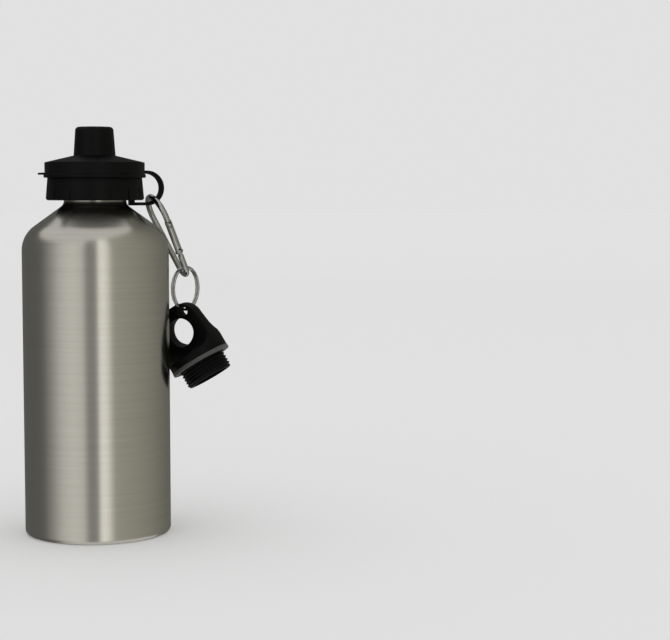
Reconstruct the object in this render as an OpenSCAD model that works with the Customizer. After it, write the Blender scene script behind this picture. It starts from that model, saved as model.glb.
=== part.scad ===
// Single-wall steel drinking bottle with a push-pull sports cap, a tethered dust cover
// and a carabiner that carries a spare screw cap with a finger loop.
// Z is the bottle's axis and z = 0 is the face it stands on. The tether leaves the neck
// on the +X side, a little behind it, and everything that hangs follows the tether.

/* [Body] */
// Outer diameter of the steel body
body_d = 73; // [69:0.5:80]
// Height where the straight wall meets the shoulder
wall_top_z = 142.3; // [125:0.5:170]
// Thickness of the steel sheet
steel_t = 0.6; // [0.4:0.05:0.9]
// Radius of the rounded bottom edge
base_edge_r = 2.5; // [1.5:0.1:4]
// Height of the base pan's rim, where it is welded to the wall
pan_rim_z = 3.2; // [2.8:0.1:6]
// Width of the flat ring at the edge of the base
foot_ring_w = 5; // [3:0.1:8]
// Width of the groove that stiffens the base
base_groove_w = 4.4; // [3.6:0.1:6]
// Depth of that groove
base_groove_h = 1.2; // [0.8:0.1:1.5]

/* [Shoulder and neck] */
// Radius of the shoulder's rounded upper edge
shoulder_r = 15; // [10:0.5:17]
// Slope of the shoulder above the horizontal, in degrees
shoulder_slope = 36; // [30:1:40]
// Radius of the hollow between the shoulder and the neck
neck_fillet_r = 3.5; // [3:0.1:4]
// Straight length of the neck
neck_h = 8; // [7:0.1:9]
// Radius of the rim that is rolled outwards at the neck's mouth
rim_roll_r = 0.8; // [0.5:0.05:0.9]

/* [Threads] */
// Outer diameter of the male threads
thread_d = 25; // [24:0.1:25.6]
// Depth of the threads
thread_depth = 0.75; // [0.5:0.05:0.9]
// Distance between neighbouring turns
thread_pitch = 1.75; // [1.5:0.05:2.2]
// Free space between the male and the female thread, on the radius
thread_gap = 0.25; // [0.25:0.05:0.35]
// Height of the threaded insert in the neck
insert_h = 9.4; // [8:0.1:11]
// Free space between the insert and the neck, on the radius
insert_gap = 0.1; // [0.05:0.01:0.2]
// Wall of the insert outside its thread
insert_wall = 2.05; // [1.9:0.05:2.3]
// Depth of the insert's top below the neck's mouth
insert_drop = 0.3; // [0.2:0.05:0.6]
// Length of the sports cap's threaded plug
plug_h = 10.6; // [9:0.1:11.5]
// Wall of the threaded plug inside its thread; the drink flows through the rest
plug_wall = 2.75; // [2:0.05:3]
// Length over which a thread fades out at its ends
thread_fade = 0.9; // [0.6:0.05:1.4]

/* [Sports cap] */
// Free space between the skirt and the neck ring's tongue inside it, on the radius
skirt_gap = 0.95; // [0.8:0.05:1.2]
// Widening of the skirt from its ledge down to its rim, on the radius
skirt_taper = 0.9; // [0.7:0.05:1.2]
// Height of the skirt that the hand grips
grip_h = 11.2; // [10:0.1:12]
// Free height between the start of the neck and the skirt's rim
skirt_lift = 0.3; // [0.2:0.05:0.6]
// Chamfer on the skirt's lower rim
skirt_chamfer = 0.8; // [0.4:0.1:1.2]
// Width of the ledge that the dust cover's rim stands on
ledge_w = 0.5; // [0.4:0.05:0.8]
// Straight height of the cap above the ledge
cap_side_h = 5; // [4.4:0.1:5.2]
// Chamfer on the cap's upper edge
cap_chamfer = 1; // [0.6:0.1:1.4]
// Rise of the sloping deck towards the spout
deck_rise = 2.1; // [1.6:0.1:2.3]
// Wall thickness of the skirt behind the upper part
cap_wall = 2; // [1.6:0.1:2.4]
// Thickness of the deck at its outer edge
deck_t = 1.9; // [1.5:0.1:2.3]
// Width by which the boss and the gasket stand out over the neck's outer face
boss_out = 0.9; // [0.7:0.05:1]
// Thickness of the boss's floor
floor_t = 2; // [1.6:0.1:2.4]
// Number of grip grooves round the skirt
groove_n = 15; // [9:1:24]
// Length of a grip groove
groove_h = 8.4; // [6:0.1:9.4]
// Width of a grip groove
groove_w = 1; // [0.6:0.1:1.6]
// Depth of a grip groove
groove_depth = 0.6; // [0.3:0.05:0.8]
// Thickness of the gasket under the cap
gasket_t = 1.2; // [1:0.05:1.4]
// Free space between the gasket and the thread inside it, on the radius
gasket_gap = 0.35; // [0.2:0.05:0.5]
// Free height between the gasket and the neck's rolled mouth
seat_gap = 0.05; // [0.03:0.01:0.1]

/* [Spout] */
// Diameter of the white spout base
spout_d = 26.8; // [26:0.1:27.4]
// Free space between the spout base and its hole in the cap, on the radius
spout_gap = 0.1; // [0.05:0.01:0.15]
// Depth of the spout base's edge below the deck
spout_sink = 0.2; // [0.1:0.05:0.4]
// Rise of the spout base's disc towards its collar
disc_rise = 0.8; // [0.4:0.1:1]
// Radius of the hollow between the disc and the collar
collar_fillet_r = 3.6; // [3:0.1:3.8]
// Wall of the collar at its thin upper end
collar_lip = 0.5; // [0.3:0.05:0.7]
// Thickness of the ring seal under the spout base
spout_seal_t = 0.9; // [0.7:0.05:1.2]
// Wall thickness of the spout base
spout_wall = 1.3; // [1:0.05:1.5]
// Outer diameter of the nozzle's sleeve
sleeve_d = 9.64; // [9.2:0.02:10]
// Wall thickness of the nozzle's sleeve
sleeve_wall = 1.1; // [0.9:0.05:1.3]
// Running clearance of the nozzle on its post and in its collar, on the radius
nozzle_gap = 0.08; // [0.05:0.01:0.1]
// Diameter of the nozzle's lip
lip_d = 13.4; // [12.6:0.1:14]
// Height of the nozzle's lip
lip_h = 4.2; // [3.4:0.1:5]
// Radius of the hollow under the lip
lip_flare_r = 3.76; // [3.2:0.01:4.4]
// Radius of the lip's rounded edge
lip_edge_r = 1.2; // [0.8:0.1:1.6]
// Diameter of the recess in the nozzle's face
face_recess_d = 8.4; // [6:0.1:9.4]
// Depth of the recess in the nozzle's face
face_recess_h = 0.7; // [0.4:0.05:1]
// Thickness of the nozzle's end wall
nozzle_end_t = 1.5; // [1.2:0.05:1.8]
// Diameter of the pin that closes the nozzle
pin_d = 3; // [2.4:0.1:3.4]
// Travel of the nozzle from closed to open
nozzle_travel = 3.8; // [3:0.1:3.8]

/* [Dust cover] */
// Wall thickness of the dust cover at its rim
cover_rim_w = 1.75; // [1.6:0.05:2]
// Reach of the bead round the rim beyond the dust cover's side
cover_bead_out = 0.5; // [0.3:0.05:0.8]
// Height of the bead
cover_bead_h = 1.9; // [1.4:0.1:2.4]
// Rise of the dust cover's side over the cap's upper edge
cover_rise = 1.6; // [1.4:0.1:2.4]
// Height of the conical roof
roof_h = 3.4; // [3.3:0.1:4.2]
// Diameter of the nose at the roof
nose_d = 20.8; // [20.4:0.1:21.6]
// Diameter of the nose at its top
nose_top_d = 19; // [18.6:0.1:19.8]
// Free height between the nose and the open nozzle
nose_gap = 0.4; // [0.3:0.1:1.6]
// Radius of the nose's rounded top edge
nose_edge_r = 1.8; // [1.2:0.1:2]
// Wall thickness of the dust cover
cover_wall = 1.2; // [1:0.05:1.25]
// Clearance between the dust cover's rim and the cap, on the radius
cover_gap = 0.1; // [0.06:0.01:0.15]
// Reach of the thumb tab beyond the dust cover's side
tab_reach = 3.3; // [2.6:0.1:5]
// Width of the thumb tab
tab_w = 11; // [6:0.1:16]
// Thickness of the thumb tab
tab_t = 1; // [0.8:0.05:1.6]

/* [Tether] */
// Angle of the tether behind the bottle's right side, in degrees
tether_turn = 17; // [0:1:24]
// Thickness of the tether strap and of the neck ring
strap_t = 1.6; // [1.2:0.1:1.7]
// Width of the tether strap
strap_w = 5; // [4:0.1:5.4]
// Radius of the strap's loop, on its middle line
strap_loop_r = 8; // [7.8:0.05:8.2]
// Length of the straight run between the loop and the dust cover's lug
strap_run = 0.5; // [0.3:0.05:0.8]
// Radial width of the neck ring
neck_ring_w = 1.5; // [1.2:0.1:1.8]
// Free space between the neck and the neck ring, on the radius
neck_ring_gap = 1.4; // [1.2:0.1:1.5]
// Height of the neck ring above the skirt's rim, inside the skirt
neck_ring_rise = 0.5; // [0.4:0.05:0.8]
// Depth of the strap's upper face below the skirt's rim
strap_drop = 1.1; // [0.8:0.1:1.2]
// Width of the tongue that steps down from the neck ring to the strap
ring_tongue = 1.6; // [1.4:0.1:1.7]
// Reach of the lug on the dust cover that holds the strap
cover_lug = 1.6; // [1.2:0.1:1.9]

/* [Carabiner] */
// Length of the carabiner over everything
carab_len = 46.6; // [44:0.1:50]
// Diameter of the carabiner's bar
bar_d = 3; // [2.6:0.1:3.1]
// Radius of the wide end, on the bar's middle line
hook_r = 10.4; // [9.8:0.1:11]
// Free space in the narrow end beside the split ring's two turns
eye_room = 0.86; // [0.8:0.02:1.4]
// Angle from the lowest point of the strap's loop to the place of the hook, in degrees
hook_turn = 25; // [20:1:28]
// Free space between the hook and the strap
hook_gap = 0.3; // [0.2:0.05:0.5]
// Distance of the gate's rivet from the start of the straight side
rivet_s = 9.6; // [8.6:0.1:10.4]
// Length of the straight bar between the gate's end and the wide end
nose_len = 0.85; // [0.5:0.05:1.5]
// Diameter of the gate
gate_d = 3.6; // [3.4:0.05:3.8]
// Thickness of the flat blades at both ends of the bar
blade_t = 1.1; // [0.9:0.05:1.2]
// Width of the flat blades
blade_w = 2.7; // [2.4:0.05:2.8]
// Free space beside the blades in the gate's slots
blade_gap = 0.15; // [0.1:0.01:0.2]
// Diameter of the gate's rivet
rivet_d = 1.5; // [1.2:0.05:1.6]
// Running clearance of the rivet in the gate, on the radius
rivet_gap = 0.05; // [0.03:0.01:0.08]
// Reach of the rivet's ends beyond the gate
rivet_head = 0.15; // [0.1:0.05:0.3]
// Diameter of the latch pin
latch_d = 1.2; // [1:0.05:1.3]
// Distance of the latch pin from the gate's end
latch_inset = 1.3; // [1.1:0.05:1.6]
// Free space round the latch pin in its notch
latch_gap = 0.2; // [0.15:0.01:0.3]
// Length of the hooked blade at the nose
nose_blade = 2.9; // [2.7:0.1:3.2]
// Diameter of the bore that holds the gate's spring
spring_bore_d = 2; // [1.8:0.05:2.2]
// Depth of the bore that holds the gate's spring
spring_bore_h = 8; // [6:0.1:9]
// Length of the plunger that the spring presses on the bar
plunger_h = 2.6; // [2:0.1:3.4]
// Wire thickness of the gate's spring
spring_wire = 0.35; // [0.25:0.05:0.45]

/* [Split ring] */
// Outer diameter of the split ring
split_ring_d = 23.3; // [22:0.1:24]
// Thickness of its wire, across the ring
wire_w = 1.3; // [1.1:0.05:1.4]
// Thickness of its wire, along the ring's axis
wire_t = 0.9; // [0.7:0.05:0.95]
// Free space between its two turns
turn_gap = 0.44; // [0.42:0.01:0.5]
// Angle between the ring and the plane of the tether, in degrees
split_ring_turn = 35; // [34:1:38]
// Free space between the ring and the carabiner's bar under it
eye_gap = 1.5; // [1.4:0.05:1.6]
// Free space between the ring and the hole that hangs on it
ring_gap = 1.1; // [1:0.05:1.3]
// Free space between the ring and the body wall, in the plane of the tether
ring_wall_gap = 1.46; // [1.2:0.02:2.4]

/* [Loop cap] */
// Width of the loop cap's flange beyond its thread
loop_flange_w = 3.4; // [3:0.1:4]
// Thickness of the flange at its edge
loop_flange_t = 3.6; // [3:0.1:4.4]
// Height of the handle above the gasket
loop_h = 30; // [29:0.1:31]
// Half width of the handle at the middle of its rounded corners
loop_half_w = 13.2; // [12.8:0.1:13.3]
// Radius of the handle's rounded corners
loop_corner_r = 9.4; // [9:0.1:9.8]
// Thickness of the handle
loop_t = 6.4; // [5.6:0.1:6.6]
// Radius of the hollow between the handle's faces and the flange
loop_flare_r = 12; // [10:0.1:12.4]
// Diameter of the finger hole
finger_d = 14.8; // [14:0.1:15]
// Distance of the finger hole's centre from the handle's top
finger_drop = 13.6; // [13.2:0.1:14]
// Free space in the ring hole beside the split ring's two turns, both sides together
ring_hole_room = 2.36; // [2.3:0.02:2.6]
// Countersink at both mouths of the ring hole
ring_hole_sink = 0.9; // [0.8:0.05:1]
// Distance of the ring hole's centre from the handle's side
ring_hole_side = 6.2; // [6:0.1:6.4]
// Distance of the ring hole's centre from the handle's top
ring_hole_top = 5; // [4.8:0.1:5.2]
// Thickness of the loop cap's gasket
loop_gasket_t = 1.9; // [1.4:0.1:2.2]
// Width by which the gasket stands out of the flange
loop_gasket_lip = 0.15; // [0:0.05:0.3]
// Length of the loop cap's thread
loop_thread_h = 8.8; // [8:0.1:9.6]
// Wall of the loop cap's hollow plug inside its thread
loop_plug_wall = 2.45; // [2:0.05:3]
// Sideways tilt of the hanging loop cap, in degrees
loop_tilt = 29.4; // [27:0.5:31]
// Lean of the hanging loop cap away from the viewer, in degrees
loop_lean = 12; // [10:1:14]
// Turn of the hanging loop cap about its own axis, in degrees
loop_turn = 31; // [29:1:34]

/* [Hidden] */
$fn = 96;

// Overrun of a cut beyond the face that it leaves
cut = 1;
// Depth by which one shape of a piece reaches into the next
bite = 0.4;
// Number of straight steps in one outline arc
arc_steps = 12;
// Facets round a thread, and rings of points to one turn of it
thread_facets = 36;
thread_rows = 6;
// Rings of points to one turn of the split ring, and the share of a turn that its wire
// leaves free between its two ends
ring_steps = 24;
ring_ramp_share = 0.125;
// Facets round the carabiner's bar
bar_facets = 16;
// Steps of the bar round the wide end and round the narrow end
hook_steps = 20;
eye_steps = 14;
full_turn = 360;
quarter = 90;

// Radii and heights that follow from the sizes above
body_r = body_d / 2;
neck_r = thread_d / 2 + thread_gap + insert_wall + insert_gap + steel_t;
shoulder_sweep = quarter - shoulder_slope;
shoulder_end_r = body_r - shoulder_r * (1 - cos(shoulder_sweep));
shoulder_end_z = wall_top_z + shoulder_r * sin(shoulder_sweep);
fillet_start_r = neck_r + neck_fillet_r * (1 - cos(shoulder_sweep));
fillet_start_z = shoulder_end_z + (shoulder_end_r - fillet_start_r) * tan(shoulder_slope);
neck_base_z = fillet_start_z + neck_fillet_r * sin(shoulder_sweep);
neck_top_z = neck_base_z + neck_h;
thread_root_r = thread_d / 2 - thread_depth;
plug_bore_r = thread_root_r - plug_wall;
boss_r = neck_r + boss_out;
thread_ref_z = neck_top_z;

skirt_rim_z = neck_base_z + skirt_lift;
ledge_z = skirt_rim_z + grip_h;
gasket_z = neck_top_z + seat_gap;
floor_z = gasket_z + gasket_t;
floor_top_z = floor_z + floor_t;
deck_edge_z = ledge_z + cap_side_h;
deck_top_z = deck_edge_z + cap_chamfer + deck_rise;
neck_ring_r = neck_r + neck_ring_gap;
neck_ring_out_r = neck_ring_r + neck_ring_w;
strap_start_x = neck_ring_out_r + ring_tongue;
skirt_in_r = strap_start_x + skirt_gap;
cap_top_r = skirt_in_r + cap_wall;
skirt_top_r = cap_top_r + ledge_w;
skirt_r = skirt_top_r + skirt_taper;
spout_r = spout_d / 2;
spout_hole_r = spout_r + spout_gap;

spout_base_z = floor_top_z + spout_seal_t;
disc_z = deck_top_z - spout_sink;
sleeve_r = sleeve_d / 2;
collar_bore_r = sleeve_r + nozzle_gap;
collar_r = collar_bore_r + collar_lip;
collar_top_z = disc_z + disc_rise + collar_fillet_r;
post_r = sleeve_r - sleeve_wall - nozzle_gap;
slot_z = disc_z + disc_rise;
flare_sweep = acos(1 - (lip_d / 2 - sleeve_r) / lip_flare_r);
flare_z = collar_top_z + nozzle_gap;
nozzle_top_z = flare_z + lip_flare_r * sin(flare_sweep) + lip_h;
nozzle_face_z = nozzle_top_z - face_recess_h;
nozzle_ceiling_z = nozzle_face_z - nozzle_end_t;

cover_rim_z = ledge_z;
cover_r = cap_top_r + cover_gap + cover_rim_w;
roof_z = deck_edge_z + cap_chamfer + cover_rise;
nose_z = roof_z + roof_h;
cover_top_z = nozzle_top_z + nozzle_travel + nose_gap + cover_wall;

neck_ring_z = skirt_rim_z + neck_ring_rise;
strap_low_z = skirt_rim_z - strap_drop - strap_t / 2;
strap_loop_z = strap_low_z + strap_loop_r;
strap_end_x = cover_r + cover_lug;
strap_loop_x = strap_end_x + strap_run;

bar_r = bar_d / 2;
turn_step = wire_t + turn_gap;
eye_r = bar_r + turn_step + wire_t + eye_room;
gate_r = gate_d / 2;
// The hook's inner side is round, so over the strap's width it hangs this much lower
hook_sag = (hook_r - bar_r) - sqrt(pow(hook_r - bar_r, 2) - pow(strap_w / 2, 2));
hook_reach = strap_loop_r - strap_t / 2 - hook_gap - hook_sag - bar_r;
hook_x = strap_loop_x + hook_reach * sin(hook_turn);
hook_z = strap_loop_z - hook_reach * cos(hook_turn);
hook_centre_v = -hook_r;
eye_bar_v = -(carab_len - bar_d);
eye_centre_v = eye_bar_v + eye_r;
side_slope = asin((hook_r - eye_r) / (hook_centre_v - eye_centre_v));
side_len = (hook_centre_v - eye_centre_v) * cos(side_slope);
gate_len = side_len - rivet_s - blade_gap - nose_len;
blade_shoulder = gate_r + blade_gap * 2;
nose_s = rivet_s + gate_len + blade_gap;
slot_t = blade_t + 2 * blade_gap;

loop_flange_r = thread_d / 2 + loop_flange_w;
ring_hole_d = turn_step + wire_t + ring_hole_room;
ring_hole_x = loop_half_w - ring_hole_side;
ring_hole_z = loop_h - ring_hole_top;
finger_z = loop_h - finger_drop;

// The chain hangs beside the body wall, as far out as its split ring needs
wire_r = split_ring_d / 2 - wire_w / 2;
eye_bar_x = body_r + ring_wall_gap + split_ring_d / 2 * cos(split_ring_turn);
carab_tilt = asin((eye_bar_x - hook_x) / -eye_bar_v);
eye_bar_z = hook_z + eye_bar_v * cos(carab_tilt);
split_ring_x = eye_bar_x;
split_ring_z = eye_bar_z + bar_r + eye_gap + wire_w / 2 - wire_r;
hole_x = split_ring_x;
hole_z = split_ring_z - wire_r + wire_w / 2 + ring_gap - ring_hole_d / 2;

// Points of an arc in the plane, from angle a0 to angle a1
function arc(x, y, r, a0, a1, steps = arc_steps) =
    [for (i = [0:steps]) let (a = a0 + (a1 - a0) * i / steps) [x + r * cos(a), y + r * sin(a)]];

function reversed(points) = [for (i = [len(points) - 1:-1:0]) points[i]];

// Outline of the body wall from the base pan's rim to the mouth, drawn inwards by inset
function wall_outline(inset) = concat(
    [[body_r - inset, pan_rim_z]],
    arc(body_r - shoulder_r, wall_top_z, shoulder_r - inset, 0, shoulder_sweep),
    arc(neck_r + neck_fillet_r, neck_base_z, neck_fillet_r + inset, 180 + shoulder_sweep, 180),
    [[neck_r - inset, neck_top_z - rim_roll_r]]
);

// Share of the full thread depth at a height above the thread's lower end
function fade(h, length) = max(0, min(1, h / thread_fade, (length - h) / thread_fade));

// Radius of a right-hand thread at height z and angle a: root, plus a rounded ridge
function thread_radius(root, z, a, amount) =
    root + thread_depth * amount * (1 + cos(full_turn * z / thread_pitch - a)) / 2;

// A tube from two grids of points, outer and inner, each a list of rings from the bottom up
module grid_tube(outer, inner) {
    n = len(outer[0]);
    rows_out = len(outer);
    rows_in = len(inner);
    base = rows_out * n;
    top = (rows_out - 1) * n;
    top_in = base + (rows_in - 1) * n;
    points = concat([for (row = outer) each row], [for (row = inner) each row]);
    faces = concat(
        [for (i = [0:rows_out - 2], j = [0:n - 1]) let (k = (j + 1) % n)
            each [[i * n + j, (i + 1) * n + j, (i + 1) * n + k], [i * n + j, (i + 1) * n + k, i * n + k]]],
        [for (i = [0:rows_in - 2], j = [0:n - 1]) let (k = (j + 1) % n)
            each [[base + i * n + j, base + (i + 1) * n + k, base + (i + 1) * n + j],
                [base + i * n + j, base + i * n + k, base + (i + 1) * n + k]]],
        [for (j = [0:n - 1]) let (k = (j + 1) % n)
            each [[top + j, top_in + j, top_in + k], [top + j, top_in + k, top + k]]],
        [for (j = [0:n - 1]) let (k = (j + 1) % n)
            each [[j, k, base + k], [j, base + k, base + j]]]
    );
    polyhedron(points = points, faces = faces, convexity = 6);
}

function ring_points(r, z) =
    [for (j = [0:thread_facets - 1]) let (a = full_turn * j / thread_facets) [r * cos(a), r * sin(a), z]];

// A male-threaded tube that stands on z, its thread in step with the neck's when ref is
// the height of the neck's mouth
module male_thread(z, length, bore_r, ref) {
    rows = ceil(length / thread_pitch * thread_rows);
    outer = [for (i = [0:rows]) let (h = length * i / rows)
        [for (j = [0:thread_facets - 1])
            let (a = full_turn * j / thread_facets,
                r = thread_radius(thread_root_r, z + h - ref, a, fade(h, length)))
            [r * cos(a), r * sin(a), z + h]]];
    inner = [ring_points(bore_r, z), ring_points(bore_r, z + length)];
    grid_tube(outer, inner);
}

// Places what hangs on the tether: local X points away from the bottle's axis
module at_tether() {
    rotate([0, 0, tether_turn])
        children();
}

// Places the carabiner: local Z runs along it with zero at the hook's bar, local X points
// to the gate's side
module at_carabiner() {
    at_tether()
        translate([hook_x, 0, hook_z])
            rotate([0, -carab_tilt, 0])
                rotate([0, 0, -quarter])
                    children();
}

// Places what lies along the gate's side: local Z runs up that side from the narrow end
module at_gate_side() {
    at_carabiner()
        translate([eye_r * cos(side_slope), 0, eye_centre_v - eye_r * sin(side_slope)])
            rotate([0, side_slope, 0])
                children();
}

module at_split_ring() {
    at_tether()
        translate([split_ring_x, 0, split_ring_z])
            rotate([0, 0, split_ring_turn])
                rotate([quarter, 0, 0])
                    children();
}

// Places the loop cap by its ring hole: local Z is the cap's axis with zero at the gasket's
// upper face, and local X runs across the handle
module at_loop_cap() {
    at_tether()
        translate([hole_x, 0, hole_z])
            rotate([0, 0, -tether_turn])
                rotate([0, -loop_tilt, 0])
                    rotate([-loop_lean, 0, 0])
                        rotate([0, 0, -loop_turn])
                            translate([-ring_hole_x, 0, -ring_hole_z])
                                children();
}

// Body wall with shoulder, neck and rolled mouth, drawn from one steel sheet
module bottle_shell() {
    color("silver") {
        rotate_extrude()
            polygon(concat(wall_outline(0), reversed(wall_outline(steel_t))));
        rotate_extrude()
            translate([neck_r - steel_t + rim_roll_r, neck_top_z - rim_roll_r])
                circle(r = rim_roll_r);
    }
}

// Outline of the flat base with its groove, lifted by a height
function base_outline(lift) = let (
        groove_out_r = body_r - base_edge_r - foot_ring_w,
        groove_in_r = groove_out_r - base_groove_w)
    [
        [0, lift],
        [groove_in_r, lift],
        [groove_in_r + base_groove_h, lift + base_groove_h],
        [groove_out_r - base_groove_h, lift + base_groove_h],
        [groove_out_r, lift]
    ];

// Base pan with its rounded edge, flat faces to stand on and stiffening groove
module base_pan() {
    edge_r = body_r - base_edge_r;
    color("silver")
        rotate_extrude()
            polygon(concat(
                base_outline(0),
                arc(edge_r, base_edge_r, base_edge_r, -quarter, 0),
                [[body_r, pan_rim_z], [body_r - steel_t, pan_rim_z]],
                arc(edge_r, base_edge_r, base_edge_r - steel_t, 0, -quarter),
                reversed(base_outline(steel_t))
            ));
}

// Female-threaded insert that is fixed inside the neck
module neck_insert() {
    insert_z = neck_top_z - insert_drop - insert_h;
    rows = ceil(insert_h / thread_pitch * thread_rows);
    inner = [for (i = [0:rows]) let (h = insert_h * i / rows)
        [for (j = [0:thread_facets - 1])
            let (a = full_turn * j / thread_facets,
                r = thread_radius(thread_root_r + thread_gap, insert_z + h - thread_ref_z, a, 1))
            [r * cos(a), r * sin(a), insert_z + h]]];
    outer_r = neck_r - steel_t - insert_gap;
    color("gainsboro")
        grid_tube([ring_points(outer_r, insert_z), ring_points(outer_r, insert_z + insert_h)], inner);
}

// Flat gasket between the cap and the neck's rolled mouth
module cap_gasket() {
    color("dimgray")
        translate([0, 0, gasket_z])
            difference() {
                cylinder(r = boss_r, h = gasket_t);
                translate([0, 0, -cut])
                    cylinder(r = thread_d / 2 + gasket_gap, h = gasket_t + 2 * cut);
            }
}

// Cap with its grooved skirt, sloping deck and the boss that presses on the gasket
module screw_cap() {
    under_z = deck_edge_z + cap_chamfer - deck_t;
    color([0.06, 0.06, 0.06])
        difference() {
            rotate_extrude()
                polygon([
                    [skirt_r - skirt_chamfer, skirt_rim_z],
                    [skirt_r, skirt_rim_z + skirt_chamfer],
                    [skirt_top_r, ledge_z],
                    [cap_top_r, ledge_z],
                    [cap_top_r, deck_edge_z],
                    [cap_top_r - cap_chamfer, deck_edge_z + cap_chamfer],
                    [spout_hole_r, deck_top_z],
                    [spout_hole_r, floor_top_z],
                    [plug_bore_r, floor_top_z],
                    [plug_bore_r, floor_z],
                    [boss_r, floor_z],
                    [boss_r, under_z],
                    [skirt_in_r, under_z],
                    [skirt_in_r, skirt_rim_z]
                ]);
            for (i = [0:groove_n - 1])
                rotate([0, 0, full_turn * i / groove_n])
                    translate([skirt_r - groove_depth, -groove_w / 2, skirt_rim_z - cut])
                        cube([groove_depth + cut, groove_w, groove_h + cut]);
        }
}

// Hollow threaded plug under the cap, which screws into the neck's insert
module threaded_plug() {
    color([0.09, 0.09, 0.09])
        male_thread(floor_z - plug_h, plug_h, plug_bore_r, thread_ref_z);
}

// Ring seal between the cap's floor and the spout base
module spout_seal() {
    color("darkgray")
        translate([0, 0, floor_top_z])
            difference() {
                cylinder(r = spout_r, h = spout_seal_t);
                translate([0, 0, -cut])
                    cylinder(r = spout_r - spout_wall, h = spout_seal_t + 2 * cut);
            }
}

// White spout base: skirt, disc, collar round the sleeve, and the hollow post with its pin
module spout_base() {
    post_bore_r = post_r - sleeve_wall;
    post_top_z = nozzle_ceiling_z - nozzle_gap;
    skirt_in_r = spout_r - spout_wall;
    under_z = disc_z - spout_wall;
    spider_z = post_top_z - nozzle_travel;
    color("white") {
        rotate_extrude()
            polygon(concat(
                [[spout_r, spout_base_z], [spout_r, disc_z]],
                reversed(arc(collar_r + collar_fillet_r, collar_top_z, collar_fillet_r, 180, 270)),
                [
                    [collar_bore_r, collar_top_z],
                    [collar_bore_r, slot_z],
                    [post_r, slot_z],
                    [post_r, post_top_z],
                    [post_bore_r, post_top_z],
                    [post_bore_r, under_z],
                    [skirt_in_r, under_z],
                    [skirt_in_r, spout_base_z]
                ]
            ));
        translate([0, 0, spider_z])
            cylinder(d = pin_d, h = nozzle_face_z - spider_z);
        for (i = [0:2])
            rotate([0, 0, full_turn * i / 3])
                translate([0, -pin_d / 6, spider_z])
                    cube([post_r - sleeve_wall / 2, pin_d / 3, nozzle_travel / 2]);
    }
}

// White push-pull nozzle: sleeve, hollow waist and the rounded lip
module pull_nozzle() {
    sleeve_bore_r = sleeve_r - sleeve_wall;
    lip_r = lip_d / 2;
    sleeve_z = slot_z + nozzle_gap;
    color("white")
        rotate_extrude()
            polygon(concat(
                [[sleeve_bore_r, sleeve_z], [sleeve_r, sleeve_z]],
                arc(sleeve_r + lip_flare_r, flare_z, lip_flare_r, 180, 180 - flare_sweep),
                arc(lip_r - lip_edge_r, nozzle_top_z - lip_edge_r, lip_edge_r, 0, quarter),
                [
                    [face_recess_d / 2, nozzle_top_z],
                    [face_recess_d / 2 - face_recess_h, nozzle_face_z],
                    [pin_d / 2 + nozzle_gap, nozzle_face_z],
                    [pin_d / 2 + nozzle_gap, nozzle_ceiling_z],
                    [sleeve_bore_r, nozzle_ceiling_z]
                ]
            ));
}

// Dust cover: beaded rim, conical roof, nose for the spout, thumb tab and strap lug
module dust_cover() {
    grip_r = cap_top_r + cover_gap;
    bead_r = cover_r + cover_bead_out;
    bead_edge = cover_bead_out / 2;
    tab_z = cover_rim_z + cover_bead_h - tab_t / 2;
    lug_z = strap_loop_z + strap_loop_r - strap_t / 2;
    color([0.05, 0.05, 0.05])
        difference() {
            union() {
                rotate_extrude()
                    polygon(concat(
                        [
                            [0, cover_rim_z],
                            [bead_r - bead_edge, cover_rim_z],
                            [bead_r, cover_rim_z + bead_edge],
                            [bead_r, cover_rim_z + cover_bead_h - bead_edge],
                            [cover_r, cover_rim_z + cover_bead_h],
                            [cover_r, roof_z],
                            [nose_d / 2, nose_z]
                        ],
                        arc(nose_top_d / 2 - nose_edge_r, cover_top_z - nose_edge_r, nose_edge_r, 0, quarter),
                        [[0, cover_top_z]]
                    ));
                at_tether() {
                    translate([0, 0, tab_z])
                        intersection() {
                            cylinder(r = cover_r + tab_reach, h = tab_t);
                            translate([-body_d, -tab_w / 2, 0])
                                cube([body_d, tab_w, tab_t]);
                        }
                    translate([cover_r - bite, -strap_w / 2, lug_z])
                        cube([cover_lug + bite, strap_w, strap_t]);
                }
            }
            rotate_extrude()
                polygon([
                    [0, cover_rim_z - cut],
                    [grip_r, cover_rim_z - cut],
                    [grip_r, cover_rim_z + cover_bead_h - bead_edge],
                    [cover_r - cover_wall, cover_rim_z + cover_bead_h],
                    [cover_r - cover_wall, roof_z - cover_wall / 2],
                    [nose_d / 2 - cover_wall, nose_z - cover_wall],
                    [nose_top_d / 2 - cover_wall, cover_top_z - cover_wall],
                    [0, cover_top_z - cover_wall]
                ]);
        }
}

// Loose ring round the neck inside the skirt, with the tongue that steps down under the
// skirt's rim to the strap
module neck_ring() {
    tongue_z = strap_low_z - strap_t / 2;
    color([0.07, 0.07, 0.07])
        at_tether() {
            translate([0, 0, neck_ring_z])
                difference() {
                    cylinder(r = neck_ring_out_r, h = strap_t);
                    translate([0, 0, -cut])
                        cylinder(r = neck_ring_r, h = strap_t + 2 * cut);
                }
            translate([neck_ring_out_r - bite, -strap_w / 2, tongue_z])
                cube([ring_tongue + bite, strap_w, neck_ring_z + strap_t - tongue_z]);
        }
}

// Flexible strap: a straight run, a half loop and a short run to the dust cover's lug
module tether_strap() {
    color([0.07, 0.07, 0.07])
        at_tether() {
            translate([strap_start_x, -strap_w / 2, strap_low_z - strap_t / 2])
                cube([strap_loop_x - strap_start_x, strap_w, strap_t]);
            translate([strap_loop_x, 0, strap_loop_z])
                rotate([quarter, 0, 0])
                    rotate([0, 0, -quarter])
                        rotate_extrude(angle = 180)
                            translate([strap_loop_r - strap_t / 2, -strap_w / 2])
                                square([strap_t, strap_w]);
            translate([strap_end_x, -strap_w / 2, strap_loop_z + strap_loop_r - strap_t / 2])
                cube([strap_loop_x - strap_end_x, strap_w, strap_t]);
        }
}

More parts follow.
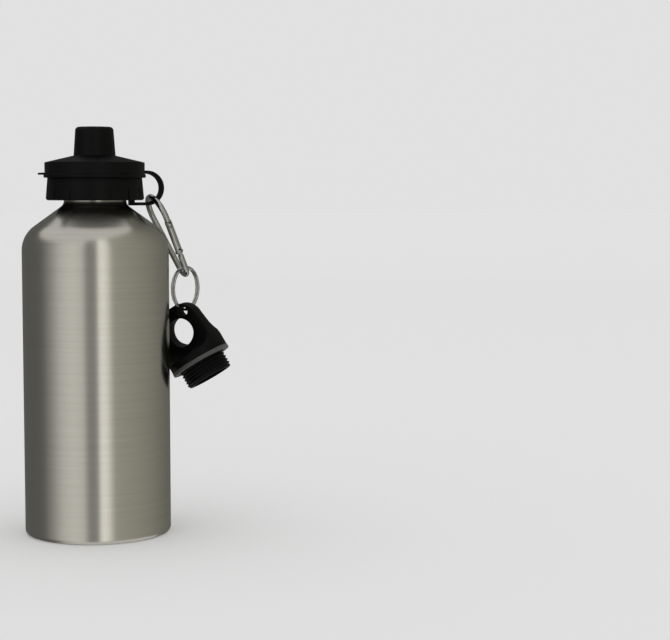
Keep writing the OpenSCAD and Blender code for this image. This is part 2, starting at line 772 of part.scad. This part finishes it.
// Middle line of the carabiner's bar from the nose round to the rivet: each entry holds
// the place across and along the carabiner, and the angle of the bar's outer side
function side_point(s) = [
    eye_r * cos(side_slope) + s * sin(side_slope),
    eye_centre_v - eye_r * sin(side_slope) + s * cos(side_slope)
];
function bar_line() = concat(
    [[side_point(nose_s), -side_slope]],
    [for (i = [0:hook_steps]) let (a = -side_slope + (180 + 2 * side_slope) * i / hook_steps)
        [[hook_r * cos(a), hook_centre_v + hook_r * sin(a)], a]],
    [for (i = [0:eye_steps]) let (a = 180 + side_slope + (180 - 2 * side_slope) * i / eye_steps)
        [[eye_r * cos(a), eye_centre_v + eye_r * sin(a)], a]],
    [[side_point(rivet_s - blade_shoulder), -side_slope]]
);

// A closed bar from rings of points
module swept_bar(grid) {
    n = len(grid[0]);
    last = (len(grid) - 1) * n;
    polyhedron(
        points = [for (row = grid) each row],
        faces = concat(
            [for (i = [0:len(grid) - 2], k = [0:n - 1]) let (m = (k + 1) % n)
                each [[i * n + k, i * n + m, (i + 1) * n + m], [i * n + k, (i + 1) * n + m, (i + 1) * n + k]]],
            [[for (k = [n - 1:-1:0]) k]],
            [[for (k = [0:n - 1]) last + k]]
        ),
        convexity = 8
    );
}

// Pear-shaped bar of the carabiner, open at the gate, with a flat blade at each end
module carabiner_frame() {
    latch_s = rivet_s + gate_len - latch_inset;
    foot_s = rivet_s - blade_shoulder - bite;
    color("lightgray") {
        at_carabiner()
            swept_bar([for (p = bar_line()) [for (k = [0:bar_facets - 1])
                let (b = full_turn * k / bar_facets)
                [
                    p[0][0] + bar_r * cos(b) * cos(p[1]),
                    -bar_r * sin(b),
                    p[0][1] + bar_r * cos(b) * sin(p[1])
                ]]]);
        at_gate_side()
            translate([0, blade_t / 2, 0])
                rotate([quarter, 0, 0])
                    linear_extrude(height = blade_t)
                        difference() {
                            union() {
                                translate([0, rivet_s])
                                    circle(d = blade_w);
                                translate([-blade_w / 2, foot_s])
                                    square([blade_w, rivet_s - foot_s]);
                                translate([-blade_w / 2, nose_s - nose_blade])
                                    square([blade_w, nose_blade + bite]);
                            }
                            translate([0, rivet_s])
                                circle(d = rivet_d);
                            translate([0, latch_s])
                                circle(r = latch_d / 2 + latch_gap);
                            translate([-blade_w, latch_s - latch_d / 2 - latch_gap])
                                square([blade_w, latch_d + 2 * latch_gap]);
                        }
    }
}

// Rivet that carries the gate
module gate_rivet() {
    reach = gate_r + rivet_head;
    color("gray")
        at_gate_side()
            translate([0, reach, rivet_s])
                rotate([quarter, 0, 0])
                    cylinder(d = rivet_d, h = 2 * reach);
}

// Gate: a round bar, slotted at both ends, bored for its rivet, its latch pin and its spring
module carabiner_gate() {
    slot_end_s = nose_s - nose_blade - 2 * blade_gap;
    color("silver")
        at_gate_side()
            difference() {
                union() {
                    translate([0, 0, rivet_s])
                        cylinder(r = gate_r, h = gate_len);
                    translate([0, 0, rivet_s])
                        sphere(r = gate_r);
                }
                translate([-gate_d, -slot_t / 2, rivet_s - gate_d])
                    cube([2 * gate_d, slot_t, gate_d + blade_shoulder]);
                translate([-gate_d, -slot_t / 2, slot_end_s])
                    cube([2 * gate_d, slot_t, gate_len]);
                translate([0, gate_d, rivet_s])
                    rotate([quarter, 0, 0])
                        cylinder(r = rivet_d / 2 + rivet_gap, h = 2 * gate_d);
                translate([0, gate_d, rivet_s + gate_len - latch_inset])
                    rotate([quarter, 0, 0])
                        cylinder(d = latch_d, h = 2 * gate_d);
                translate([0, 0, rivet_s + bar_r])
                    cylinder(d = spring_bore_d, h = blade_shoulder - bar_r + spring_bore_h);
            }
}

// Cross pin in the gate's end, which rests in the nose's notch
module latch_pin() {
    color("gray")
        at_gate_side()
            translate([0, gate_r, rivet_s + gate_len - latch_inset])
                rotate([quarter, 0, 0])
                    cylinder(d = latch_d, h = gate_d);
}

// Plunger inside the gate, which the spring presses against the end of the bar
module gate_plunger() {
    color("dimgray")
        at_gate_side()
            translate([0, 0, rivet_s + bar_r + blade_gap])
                cylinder(d = spring_bore_d - blade_gap, h = plunger_h);
}

// Space of the small coil spring inside the gate
module gate_spring() {
    spring_s = rivet_s + bar_r + blade_gap + plunger_h;
    spring_d = spring_bore_d - blade_gap;
    color("dimgray")
        at_gate_side()
            translate([0, 0, spring_s])
                difference() {
                    cylinder(d = spring_d, h = rivet_s + blade_shoulder + spring_bore_h - spring_s);
                    translate([0, 0, -cut])
                        cylinder(d = spring_d - 2 * spring_wire, h = spring_bore_h + 2 * cut);
                }
}

// Middle line of the split ring: just under two turns, with one step across between its ends
function ring_turns() = 2 - ring_ramp_share;
function ring_step(t) = max(0, min(1, (t - (1 - ring_ramp_share)) / ring_ramp_share));
function ring_lift(t) = (ring_step(t) - 1 / 2) * turn_step;
function ring_frame(t) = let (a = full_turn * t - quarter)
    [for (k = [0:5]) let (b = full_turn * k / 6, w = wire_r + wire_w / 2 * cos(b))
        [w * cos(a), w * sin(a), ring_lift(t) + wire_t / 2 * sin(b) / sin(60)]];

// Least distance between the two turns' surface points, printed
ring_rings = ceil(ring_steps * ring_turns());
ring_grid = [for (i = [0:ring_rings]) ring_frame(ring_turns() * i / ring_rings)];
ring_clear = min([for (i = [0:ring_rings], j = [0:ring_rings]) if (j - i > ring_steps / 2)
    min([for (p = ring_grid[i], q = ring_grid[j]) norm(p - q)])]);
echo(split_ring_least_gap = ring_clear);

// Split ring: one hexagonal wire, wound almost twice
module split_ring() {
    color("silver")
        at_split_ring()
            swept_bar(ring_grid);
}

// Outline of the loop cap's handle, seen from the front
function handle_outline() = let (
        corner_x = loop_half_w - loop_corner_r,
        corner_z = loop_h - loop_corner_r,
        half = concat(
            [[loop_flange_r, 0], [loop_flange_r, loop_flange_t * 2 / 3]],
            arc(corner_x, corner_z, loop_corner_r, 0, quarter)))
    concat(half, [for (p = reversed(half)) [-p[0], p[1]]]);

// Outline of the loop cap seen from its side: flange, hollow flare and thin handle
function flare_outline() = let (
        half = concat(
            [[loop_flange_r, 0], [loop_flange_r, loop_flange_t]],
            reversed(arc(loop_t / 2 + loop_flare_r, loop_flange_t + loop_flare_r, loop_flare_r, 180, 270)),
            [[loop_t / 2, loop_h + cut]]))
    concat(half, [for (p = reversed(half)) [-p[0], p[1]]]);

// Spare cap: flange, flared handle with a finger hole and a ring hole, and a hollow thread
module loop_cap() {
    color([0.06, 0.06, 0.06])
        at_loop_cap() {
            difference() {
                intersection() {
                    cylinder(r = loop_flange_r, h = loop_h + cut);
                    translate([0, loop_flange_r, 0])
                        rotate([quarter, 0, 0])
                            linear_extrude(height = 2 * loop_flange_r)
                                polygon(handle_outline());
                    translate([-loop_flange_r, 0, 0])
                        rotate([quarter, 0, quarter])
                            linear_extrude(height = 2 * loop_flange_r)
                                polygon(flare_outline());
                }
                translate([0, loop_flange_r, finger_z])
                    rotate([quarter, 0, 0])
                        cylinder(d = finger_d, h = 2 * loop_flange_r);
                translate([ring_hole_x, loop_t / 2 + cut, ring_hole_z])
                    rotate([quarter, 0, 0])
                        cylinder(d = ring_hole_d, h = loop_t + 2 * cut);
                for (side = [0, 1])
                    mirror([0, side, 0])
                        translate([ring_hole_x, loop_t / 2 - ring_hole_sink, ring_hole_z])
                            rotate([-quarter, 0, 0])
                                cylinder(d1 = ring_hole_d, d2 = ring_hole_d + 2 * (ring_hole_sink + cut),
                                    h = ring_hole_sink + cut);
            }
            male_thread(-loop_gasket_t - loop_thread_h, loop_gasket_t + loop_thread_h + bite,
                thread_root_r - loop_plug_wall, 0);
        }
}

// Grey gasket under the loop cap's flange
module loop_cap_gasket() {
    color("gray")
        at_loop_cap()
            translate([0, 0, -loop_gasket_t])
                difference() {
                    cylinder(r = loop_flange_r + loop_gasket_lip, h = loop_gasket_t);
                    translate([0, 0, -cut])
                        cylinder(r = thread_d / 2 + gasket_gap, h = loop_gasket_t + 2 * cut);
                }
}

bottle_shell();
base_pan();
neck_insert();
cap_gasket();
screw_cap();
threaded_plug();
spout_seal();
spout_base();
pull_nozzle();
dust_cover();
neck_ring();
tether_strap();
carabiner_frame();
gate_rivet();
carabiner_gate();
latch_pin();
gate_plunger();
gate_spring();
split_ring();
loop_cap();
loop_cap_gasket();
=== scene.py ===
# Steel drinking bottle with a sports cap under its dust cover, a carabiner and a spare cap.
# Metres, in the part's own frame. The sections follow the bottle as it is put together.
import bpy
import math
from mathutils import Matrix, Vector


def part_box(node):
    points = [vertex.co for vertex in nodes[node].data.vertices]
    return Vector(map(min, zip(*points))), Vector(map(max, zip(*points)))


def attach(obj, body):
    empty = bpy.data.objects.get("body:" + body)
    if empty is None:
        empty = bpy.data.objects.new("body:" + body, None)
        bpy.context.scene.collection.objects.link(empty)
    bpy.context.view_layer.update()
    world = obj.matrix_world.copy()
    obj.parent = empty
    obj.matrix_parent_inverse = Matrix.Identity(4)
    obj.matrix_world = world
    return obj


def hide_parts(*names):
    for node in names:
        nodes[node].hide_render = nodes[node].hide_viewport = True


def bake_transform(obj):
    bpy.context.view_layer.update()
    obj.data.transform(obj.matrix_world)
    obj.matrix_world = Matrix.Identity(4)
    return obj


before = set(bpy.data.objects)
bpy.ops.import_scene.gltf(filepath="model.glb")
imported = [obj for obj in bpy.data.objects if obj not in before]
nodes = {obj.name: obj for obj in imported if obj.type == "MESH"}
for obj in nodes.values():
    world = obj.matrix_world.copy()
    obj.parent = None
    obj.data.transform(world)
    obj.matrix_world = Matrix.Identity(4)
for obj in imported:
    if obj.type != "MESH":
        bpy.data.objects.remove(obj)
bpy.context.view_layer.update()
mm = 0.001

# Camera, floor and lights.
# A long lens looks slightly down from the height of the cap; the bottle stands left of the middle.
# The pale table runs on to a pale background of the same tone, in a soft white tent.
camera = bpy.data.objects.new("camera", bpy.data.cameras.new("camera"))
bpy.context.scene.collection.objects.link(camera)
camera.data.lens = 90
camera.data.sensor_width = 36
camera.location = (0, -0.848, 0.1724)
camera.rotation_euler = (math.radians(90 - 4.44), 0, math.radians(-8.13))
bpy.context.scene.camera = camera
bpy.context.scene.view_settings.view_transform = "Standard"


def linear(text):
    """Linear colour of an sRGB hex value."""
    parts = [int(text[i:i + 2], 16) / 255 for i in (1, 3, 5)]
    return tuple(c / 12.92 if c <= 0.04045 else ((c + 0.055) / 1.055) ** 2.4 for c in parts) + (1,)


def add_node(material, kind, settings=(), links=()):
    """A shader node with its settings, and links from (node, output) to its inputs."""
    made = material.node_tree.nodes.new(kind)
    for key, value in dict(settings).items():
        if isinstance(key, str) and hasattr(made, key):
            setattr(made, key, value)
        else:
            made.inputs[key].default_value = value
    for target, (source, output) in dict(links).items():
        material.node_tree.links.new(source.outputs[output], made.inputs[target])
    return made


def new_material(name, settings):
    """A material with one Principled shader, its even values set on the shader itself."""
    material = bpy.data.materials.new(name)
    material.use_nodes = True
    shader = material.node_tree.nodes["Principled BSDF"]
    for key, value in settings.items():
        shader.inputs[key].default_value = value
    place = add_node(material, "ShaderNodeTexCoord")
    return material, shader, place


def noise(material, place, scale, detail):
    """Noise over a piece's own coordinates."""
    return add_node(material, "ShaderNodeTexNoise", {"Scale": scale, "Detail": detail},
                    {"Vector": (place, "Object")})


def tint(material, shader, dark, light, source, output="Fac"):
    """Base colour that runs between two tones with a texture."""
    tone = add_node(material, "ShaderNodeMix", {"data_type": "RGBA", 6: linear(dark), 7: linear(light)},
                    {0: (source, output)})
    material.node_tree.links.new(tone.outputs[2], shader.inputs["Base Color"])


def wear(node, material):
    """Gives a CAD node its finish in every slot."""
    if not node.data.materials:
        node.data.materials.append(material)
    for i in range(len(node.data.materials)):
        node.data.materials[i] = material


world = bpy.data.worlds.new("tent")
world.use_nodes = True
world.node_tree.nodes["Background"].inputs["Color"].default_value = linear("#e1e1e1")
world.node_tree.nodes["Background"].inputs["Strength"].default_value = 1.0
bpy.context.scene.world = world

bpy.ops.object.select_all(action="DESELECT")
bpy.ops.mesh.primitive_circle_add(vertices=96, radius=12, fill_type="NGON", location=(0, 0, 0))
table_top = bpy.context.object
table_top.name = "table_top"
paint, shader, place = new_material("table_paper_matte", {
    "Roughness": 0.95, "Specular IOR Level": 0.1, "Emission Color": (1, 1, 1, 1),
    "Emission Strength": 0.021})
tint(paint, shader, "#fbfbfb", "#fefefe", noise(paint, place, 900.0, 2.0))
wear(table_top, paint)
table_top.visible_glossy = False

# The tent's wall is seen only in reflections: dark behind on the left, light on the left, a grey
# stripe where the viewer stands, a bright strip beside it, and grey cloth round the right side,
# where the wall is higher
bpy.ops.object.select_all(action="DESELECT")
bpy.ops.mesh.primitive_cylinder_add(vertices=96, radius=2.4, depth=4.8, end_fill_type="NOTHING",
                                    rotation=(0, math.radians(-14), 0))
tent = bpy.context.object
tent.name = "tent_wall"
bpy.ops.object.transform_apply(location=True, rotation=True, scale=True)
for seen in ("visible_camera", "visible_diffuse", "visible_shadow", "visible_transmission"):
    setattr(tent, seen, False)
tent_cloth, shader, place = new_material("tent_cloth_lit", {
    "Base Color": (0, 0, 0, 1), "Roughness": 1.0, "Specular IOR Level": 0.0, "Emission Strength": 1.0})
round_tent = add_node(tent_cloth, "ShaderNodeTexGradient", {"gradient_type": "RADIAL"},
                      {"Vector": (place, "Object")})
tent_tone = add_node(tent_cloth, "ShaderNodeValToRGB", {}, {"Fac": (round_tent, "Fac")})
# Each stop: degrees to the right of the viewer, brightness, share of blue
stops = [
    (-90, 0.20, 0.99), (-72, 0.45, 0.97), (-56, 0.76, 0.97), (-38, 0.88, 0.97), (-22, 0.80, 0.97),
    (-14, 0.32, 0.97), (0, 0.32, 0.97), (5, 1.36, 0.97), (15, 1.16, 0.95), (26, 0.48, 0.90),
    (60, 0.41, 0.86), (90, 0.34, 0.87), (125, 0.24, 0.89), (160, 0.15, 0.93), (178, 0.11, 0.97),
    (192, 0.12, 0.98), (260, 0.16, 0.98), (269.9, 0.20, 0.99)]
viewer_at = 0.25
ramp = tent_tone.color_ramp
for azimuth, level, blue in stops[1:-1]:
    ramp.elements.new(azimuth / 360 + viewer_at)
for stop in ramp.elements:
    nearest = min(stops, key=lambda entry: abs(entry[0] / 360 + viewer_at - stop.position))
    level, blue = nearest[1:]
    stop.color = (level, level * (0.99 + blue * 0.01), level * blue, 1)
tent_cloth.node_tree.links.new(tent_tone.outputs["Color"], shader.inputs["Emission Color"])
wear(tent, tent_cloth)

# Bottle body and base.
# One stainless steel sheet, drawn and spun, with its base pan welded in; neither is coated.
# Both are brushed on the lathe, so fine lines run round them and highlights stretch up and down.
fine_relief = 0.03 * mm


def gloss(material, shader, least, most, source):
    """Roughness that runs between two values with a texture."""
    rough = add_node(material, "ShaderNodeMapRange", {"To Min": least, "To Max": most},
                     {"Value": (source, "Fac")})
    material.node_tree.links.new(rough.outputs[0], shader.inputs["Roughness"])


def relief(material, shader, strength, depth, source):
    """Fine relief that follows a texture."""
    bump = add_node(material, "ShaderNodeBump", {"Strength": strength, "Distance": depth},
                    {"Height": (source, "Fac")})
    material.node_tree.links.new(bump.outputs[0], shader.inputs["Normal"])


steel, shader, place = new_material("stainless_steel_lathe_brushed", {
    "Metallic": 1.0, "Anisotropic": 0.65, "Anisotropic Rotation": 0.25})
# Lines 0.12 mm apart are too fine to show, so they are drawn 0.35 mm apart
round_lines = add_node(steel, "ShaderNodeMapping", {"Scale": (30, 30, 2800)},
                       {"Vector": (place, "Object")})
lines = add_node(steel, "ShaderNodeTexNoise", {"Scale": 1.0, "Detail": 3.0, "Roughness": 0.65},
                 {"Vector": (round_lines, "Vector")})
wide_bands = add_node(steel, "ShaderNodeMapping", {"Scale": (9, 9, 700)},
                      {"Vector": (place, "Object")})
bands = add_node(steel, "ShaderNodeTexNoise", {"Scale": 1.0, "Detail": 2.0},
                 {"Vector": (wide_bands, "Vector")})
mixed = add_node(steel, "ShaderNodeMath", {"operation": "ADD"},
                 {0: (lines, "Fac"), 1: (bands, "Fac")})
steel_tone = add_node(steel, "ShaderNodeMapRange", {"From Min": 0.6, "From Max": 1.4},
                      {"Value": (mixed, 0)})
tint(steel, shader, "#bebbb2", "#c5c3ba", steel_tone, 0)
gloss(steel, shader, 0.22, 0.27, lines)
turned = add_node(steel, "ShaderNodeTangent", {"direction_type": "RADIAL", "axis": "Z"})
steel.node_tree.links.new(turned.outputs[0], shader.inputs["Tangent"])
relief(steel, shader, 0.015, fine_relief, lines)
for name in ("bottle_shell", "base_pan"):
    wear(nodes[name], steel)

# Neck insert.
# A natural polypropylene collar with the female thread, pressed into the neck.
# Moulded, so it has an even, slightly cloudy satin face.
collar_pp, shader, place = new_material("polypropylene_natural_moulded", {
    "Roughness": 0.42, "Subsurface Weight": 0.15, "Subsurface Scale": 0.002})
tint(collar_pp, shader, "#d6d5cd", "#e3e2dc", noise(collar_pp, place, 260.0, 3.0))
wear(nodes["neck_insert"], collar_pp)

# Gaskets and spout seal.
# Grey silicone rings: one on the neck's mouth, one under the spout and one on the spare cap.
# Moulded silicone is matte with a fine powdery dust in its pores.
silicone, shader, place = new_material("silicone_grey_moulded", {
    "Roughness": 0.62, "Specular IOR Level": 0.4, "Sheen Weight": 0.15})
pores = noise(silicone, place, 1800.0, 2.0)
tint(silicone, shader, "#444342", "#504f4e", pores)
relief(silicone, shader, 0.15, fine_relief, pores)
for name in ("cap_gasket", "spout_seal"):
    wear(nodes[name], silicone)

# Screw cap and its threaded plug.
# Black polypropylene mouldings with a spark-eroded matte texture and softly rounded edges.
# The plug is fixed under the cap; grip grooves run up from the skirt's rim.
black_pp, shader, place = new_material("polypropylene_black_matte_moulded", {
    "Specular IOR Level": 0.1})
drift = noise(black_pp, place, 70.0, 4.0)
tint(black_pp, shader, "#070707", "#0c0c0d", drift)
gloss(black_pp, shader, 0.36, 0.5, drift)
relief(black_pp, shader, 0.25, fine_relief, noise(black_pp, place, 2600.0, 2.0))


def merged_copy(name, suffix):
    """A copy of a CAD piece with its loose triangles joined and its flat faces made whole."""
    piece = nodes[name].copy()
    piece.data = nodes[name].data.copy()
    piece.name = name + suffix
    for key in [k for k in piece.keys() if k.startswith("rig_")]:
        del piece[key]
    piece.parent = None
    bpy.context.scene.collection.objects.link(piece)
    bpy.ops.object.select_all(action="DESELECT")
    piece.select_set(True)
    bpy.context.view_layer.objects.active = piece
    bpy.ops.object.mode_set(mode="EDIT")
    bpy.ops.mesh.select_all(action="SELECT")
    bpy.ops.mesh.remove_doubles(threshold=0.002 * mm)
    bpy.ops.mesh.dissolve_limited(angle_limit=math.radians(0.6))
    bpy.ops.mesh.normals_make_consistent(inside=False)
    bpy.ops.object.mode_set(mode="OBJECT")
    return piece


def smooth(thing, degrees):
    """Smooth shading up to an angle."""
    bpy.ops.object.select_all(action="DESELECT")
    thing.select_set(True)
    bpy.context.view_layer.objects.active = thing
    bpy.ops.object.shade_smooth_by_angle(angle=math.radians(degrees))


def settle(piece, name, body, material, degrees=40):
    """Shades a finished piece, gives it its finish and lets it stand for its CAD node."""
    smooth(piece, degrees)
    wear(piece, material)
    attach(piece, body)
    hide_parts(name)
    return piece


def round_edges(piece, radius, limit="ANGLE", degrees=28):
    """Rounds the piece's sharp edges and applies it."""
    edge = piece.modifiers.new("moulded_edge", "BEVEL")
    edge.width = radius
    edge.segments = 3
    edge.limit_method = limit
    edge.angle_limit = math.radians(degrees)
    edge.use_clamp_overlap = True
    bpy.context.view_layer.objects.active = piece
    bpy.ops.object.modifier_apply(modifier=edge.name)


def moulded(name, radius, body, material, degrees=28):
    """A moulded piece whose sharp edges are rounded as its mould rounds them."""
    piece = merged_copy(name, "_rounded")
    round_edges(piece, radius, degrees=degrees)
    return settle(piece, name, body, material)


moulded("screw_cap", 0.25 * mm, "cap", black_pp)
wear(nodes["threaded_plug"], black_pp)

# Spout base and push-pull nozzle.
# Glossy white polyethylene mouldings: the base sits in the cap's hole and the nozzle slides on
# its post, where a pin closes the hole in its end.
white_pe, shader, place = new_material("polyethylene_white_gloss_moulded", {
    "Subsurface Weight": 0.25, "Subsurface Scale": 0.002, "Coat Weight": 0.2, "Coat Roughness": 0.1})
flow = noise(white_pe, place, 120.0, 3.0)
tint(white_pe, shader, "#ececea", "#f4f4f2", flow)
gloss(white_pe, shader, 0.16, 0.26, flow)
moulded("spout_base", 0.15 * mm, "cap", white_pe)
moulded("pull_nozzle", 0.2 * mm, "nozzle", white_pe)

# Dust cover.
# A thin black moulding that snaps over the cap: beaded rim, conical roof and a nose over the spout.
# A small lug holds the strap, and a thumb tab on the far side helps to pull it off.
moulded("dust_cover", 0.4 * mm, "cover", black_pp)

# Neck ring and tether strap.
# One soft black moulding holds the dust cover to the neck: a loose ring, and a flat strap that
# loops out and up to the cover's lug. The real strap bends when the cover is lifted; here it
# keeps its rest shape.
black_tpe, shader, place = new_material("elastomer_black_moulded", {"Specular IOR Level": 0.12})
skin = noise(black_tpe, place, 1500.0, 3.0)
tint(black_tpe, shader, "#080808", "#0e0e0f", skin)
gloss(black_tpe, shader, 0.42, 0.55, skin)
moulded("neck_ring", 0.3 * mm, "tether", black_tpe)
strap = merged_copy("tether_strap", "_rounded")
round_edges(strap, 0.35 * mm, degrees=50)
smooth(strap, 40)
wear(strap, black_tpe)
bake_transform(strap)
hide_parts("tether_strap")

# Carabiner, split ring and the small steel parts.
# Nickel-plated steel: a bent bar, a tubular gate on a rivet, and a ring of wire wound twice.
# Plating is bright, with the faint ripple of drawn wire under it.
nickel, shader, place = new_material("steel_nickel_plated", {"Metallic": 1.0})
ripple = noise(nickel, place, 420.0, 3.0)
tint(nickel, shader, "#a0a09f", "#bcbcba", ripple)
gloss(nickel, shader, 0.05, 0.11, ripple)
relief(nickel, shader, 0.12, 0.05 * mm, ripple)
bar = merged_copy("carabiner_frame", "_bar")
settle(bar, "carabiner_frame", "carabiner", nickel, 32)
moulded("carabiner_gate", 0.12 * mm, "gate", nickel, 40)
moulded("split_ring", 0.14 * mm, "ring", nickel, 40)
wear(nodes["latch_pin"], nickel)
# The rivet, plunger and spring are blackened in an oil bath
dark_steel, shader, place = new_material("steel_blackened", {"Metallic": 1.0})
oil = noise(dark_steel, place, 500.0, 2.0)
tint(dark_steel, shader, "#3c3c3e", "#58585a", oil)
gloss(dark_steel, shader, 0.25, 0.4, oil)
moulded("gate_rivet", 0.1 * mm, "carabiner", dark_steel, 40)
wear(nodes["gate_plunger"], dark_steel)

# Gate spring.
# A coil of nine turns of thin spring wire inside the gate; it presses the plunger on the bar.
# It is wound on the gate's own axis, which leans with the hanging carabiner.
spring_low, spring_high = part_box("gate_spring")
plunger_low, plunger_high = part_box("gate_plunger")
middle = (spring_low + spring_high) / 2
along = (middle - (plunger_low + plunger_high) / 2).normalized()
box_length = (spring_high - spring_low).dot(Vector([abs(part) for part in along]))
# The leaning spring's box is longer than the spring by its width
coil_length = box_length - 1.6 * mm
coil_radius = 0.72 * mm
coil_turns = 9
wire_radius = 0.16 * mm
bpy.ops.object.select_all(action="DESELECT")
bpy.ops.mesh.primitive_circle_add(vertices=10, radius=wire_radius, location=(coil_radius, 0, 0),
                                  rotation=(math.radians(90), 0, 0))
coil = bpy.context.object
coil.name = "gate_spring_coil"
bpy.ops.object.transform_apply(location=True, rotation=True, scale=True)
wound = coil.modifiers.new("wound", "SCREW")
wound.axis = "Z"
wound.angle = math.radians(360 * coil_turns)
wound.screw_offset = coil_length
wound.steps = 200
wound.render_steps = 200
bpy.ops.object.modifier_apply(modifier=wound.name)
bpy.ops.object.mode_set(mode="EDIT")
bpy.ops.mesh.select_all(action="SELECT")
bpy.ops.mesh.fill_holes(sides=0)
bpy.ops.mesh.normals_make_consistent(inside=False)
bpy.ops.object.mode_set(mode="OBJECT")
lean = along.to_track_quat("Z", "Y").to_matrix().to_4x4()
sink = Matrix.Translation((0, 0, -coil_length / 2))
coil.data.transform(Matrix.Translation(middle) @ lean @ sink)
settle(coil, "gate_spring", "gate", dark_steel)

# Spare loop cap.
# A black polypropylene screw cap: a flat handle with a finger hole and an off-centre ring hole,
# which flares into the flange above its grey gasket and hollow thread.
loop_cap = merged_copy("loop_cap", "_rounded")
gasket_low, gasket_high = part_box("loop_cap_gasket")
gasket_middle = (gasket_low + gasket_high) / 2
# The spare cap hangs tilted; its axis runs up from the gasket to the handle
cap_axis = Vector((-0.480176, 0.207912, 0.852176))
handle_start = 1.1 * mm
crease = loop_cap.data.attributes.new("bevel_weight_edge", "FLOAT", "EDGE")
# Only the handle's sharp edges are rounded, so the thread and the gasket's seat stay as they are
faces_of = {}
for face in loop_cap.data.polygons:
    for key in face.edge_keys:
        faces_of.setdefault(key, []).append(face.normal)
for edge in loop_cap.data.edges:
    ends = [loop_cap.data.vertices[v].co - gasket_middle for v in edge.vertices]
    sides = faces_of.get(tuple(sorted(edge.vertices)), [])
    sharp = len(sides) == 2 and sides[0].angle(sides[1], 0) > math.radians(38)
    on_handle = min(end.dot(cap_axis) for end in ends) > handle_start
    crease.data[edge.index].value = 1.0 if sharp and on_handle else 0.0
round_edges(loop_cap, 0.55 * mm, "WEIGHT")
settle(loop_cap, "loop_cap", "spare_cap", black_pp, 35)
moulded_gasket = merged_copy("loop_cap_gasket", "_rounded")
round_edges(moulded_gasket, 0.35 * mm, degrees=50)
settle(moulded_gasket, "loop_cap_gasket", "spare_cap", silicone)
